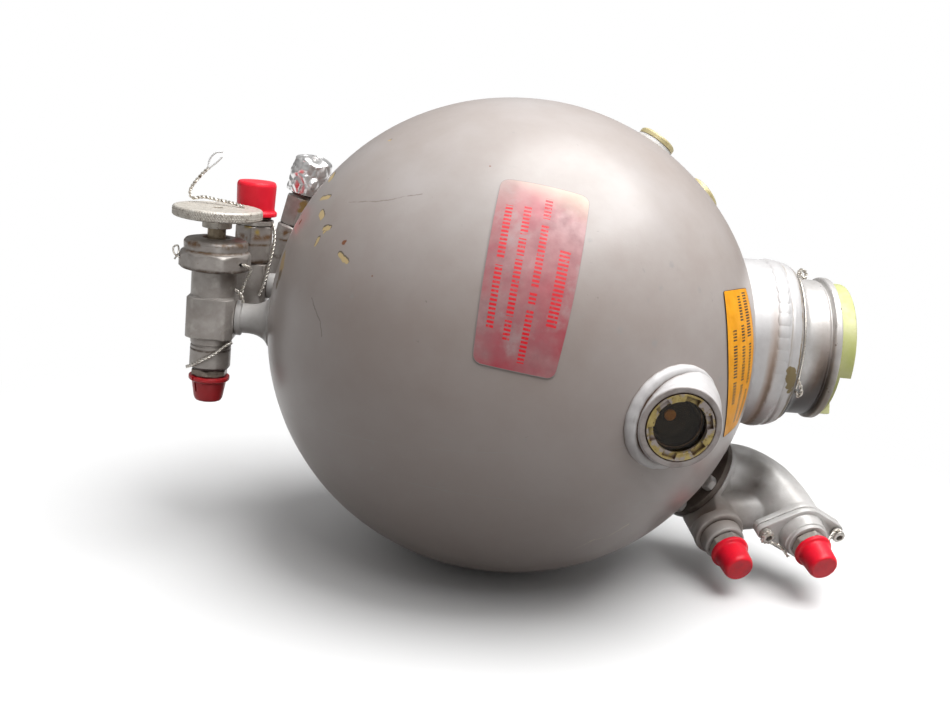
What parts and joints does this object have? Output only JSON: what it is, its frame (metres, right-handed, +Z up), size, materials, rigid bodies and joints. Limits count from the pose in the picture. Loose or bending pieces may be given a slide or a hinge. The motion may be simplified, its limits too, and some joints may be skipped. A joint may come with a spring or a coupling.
{
  "type": "hydraulic reservoir",
  "caption": "Welded spherical hydraulic reservoir with filler neck and cap, vent valve with handwheel, sight glass, capped fittings and a two-port outlet manifold.",
  "frame": {"origin": "centre of the flat face of the rear mounting pad", "axes": "+X along the filler neck, -Y towards the sight glass, +Z up along the vent valve's spindle"},
  "size_m": [0.4585, 0.3104, 0.302],
  "materials": {
    "grey_enamel": "satin enamel over welded aluminium, chipped",
    "bare_aluminium": "machined, stained",
    "painted_casting": "silver-grey paint on a casting",
    "stainless_steel": "machined",
    "chromate_gold": "gold chromate conversion",
    "chromate_cap": "yellow-green chromate conversion",
    "red_polyethylene": "moulded polyethylene",
    "sight_glass": "clear, oil-stained behind",
    "seal_rubber": "moulded nitrile",
    "pleated_medium": "pleated filter medium",
    "aluminium_foil": "crumpled foil"
  },
  "bodies": {
    "root": {"tank_shell": "grey_enamel", "rear_mount_pad": "grey_enamel", "filler_neck": "grey_enamel", "filler_adapter": "bare_aluminium", "sight_boss": "grey_enamel", "sight_gasket": "seal_rubber", "sight_lens": "sight_glass", "sight_ring": "chromate_gold", "level_port_boss": "grey_enamel", "level_port_plug": "chromate_gold", "blank_port_boss": "grey_enamel", "blank_port_plug": "chromate_gold", "outlet_flange": "grey_enamel", "outlet_manifold": "painted_casting", "port_plate": "painted_casting", "port_screw_1": "stainless_steel", "port_screw_2": "stainless_steel", "outlet_bolt_1": "stainless_steel", "outlet_bolt_2": "stainless_steel", "outlet_bolt_3": "stainless_steel", "outlet_bolt_4": "stainless_steel", "outlet_bolt_5": "stainless_steel", "outlet_bolt_6": "stainless_steel", "port_a_fitting": "stainless_steel", "port_b_collar": "painted_casting", "port_b_fitting": "stainless_steel", "vent_stub": "grey_enamel", "valve_body": "bare_aluminium", "valve_bonnet": "bare_aluminium", "vent_fitting": "stainless_steel", "pressure_stub": "grey_enamel", "pressure_elbow": "painted_casting", "pressure_adapter": "stainless_steel", "pressure_lock_ring": "stainless_steel", "return_stub": "grey_enamel", "return_elbow": "painted_casting", "return_union": "stainless_steel", "foil_wrap": "aluminium_foil", "element_base": "stainless_steel", "element_pleats": "pleated_medium", "element_tube": "stainless_steel", "element_cap": "stainless_steel", "vent_standpipe": "stainless_steel", "return_diffuser": "stainless_steel"},
    "valve_disc": {"valve_poppet": "stainless_steel"},
    "valve_stem": {"valve_spindle": "stainless_steel", "handwheel": "bare_aluminium"},
    "filler_plug": {"cap_plug": "chromate_cap", "cap_seal": "seal_rubber"},
    "filler_grip": {"cap_grip": "chromate_cap"},
    "pressure_dust_cap": {"pressure_cap": "red_polyethylene"},
    "vent_dust_cap": {"vent_cap": "red_polyethylene"},
    "port_a_dust_cap": {"port_a_cap": "red_polyethylene"},
    "port_b_dust_cap": {"port_b_cap": "red_polyethylene"}
  },
  "joints": [
    {"name": "vent_lift", "type": "slide", "parent": "root", "child": "valve_disc", "axis": [0, 0, 1], "range_m": [0, 0.003]},
    {"name": "handwheel_turn", "type": "hinge", "parent": "valve_disc", "child": "valve_stem", "pos_m": [-0.192, -0.16, 0.058], "axis": [0, 0, 1], "range_deg": [0, 720]},
    {"name": "filler_cap_lift", "type": "slide", "parent": "root", "child": "filler_plug", "axis": [1, 0, 0], "range_m": [0, 0.045]},
    {"name": "filler_grip_turn", "type": "hinge", "parent": "filler_plug", "child": "filler_grip", "pos_m": [0.205, -0.16, 0.0115], "axis": [1, 0, 0], "range_deg": [0, 90]},
    {"name": "pressure_cap_pull", "type": "slide", "parent": "root", "child": "pressure_dust_cap", "axis": [0, 0, 1], "range_m": [0, 0.025]},
    {"name": "vent_cap_pull", "type": "slide", "parent": "root", "child": "vent_dust_cap", "axis": [0, 0, -1], "range_m": [0, 0.025]},
    {"name": "port_a_cap_pull", "type": "slide", "parent": "root", "child": "port_a_dust_cap", "axis": [0.2165, -0.9215, -0.3224], "range_m": [0, 0.025]},
    {"name": "port_b_cap_pull", "type": "slide", "parent": "root", "child": "port_b_dust_cap", "axis": [0.2165, -0.9215, -0.3224], "range_m": [0, 0.025]}
  ],
  "couplings": [
    {"joint": "handwheel_turn", "follows": "vent_lift", "rad_per_m": 4188.8}
  ]
}
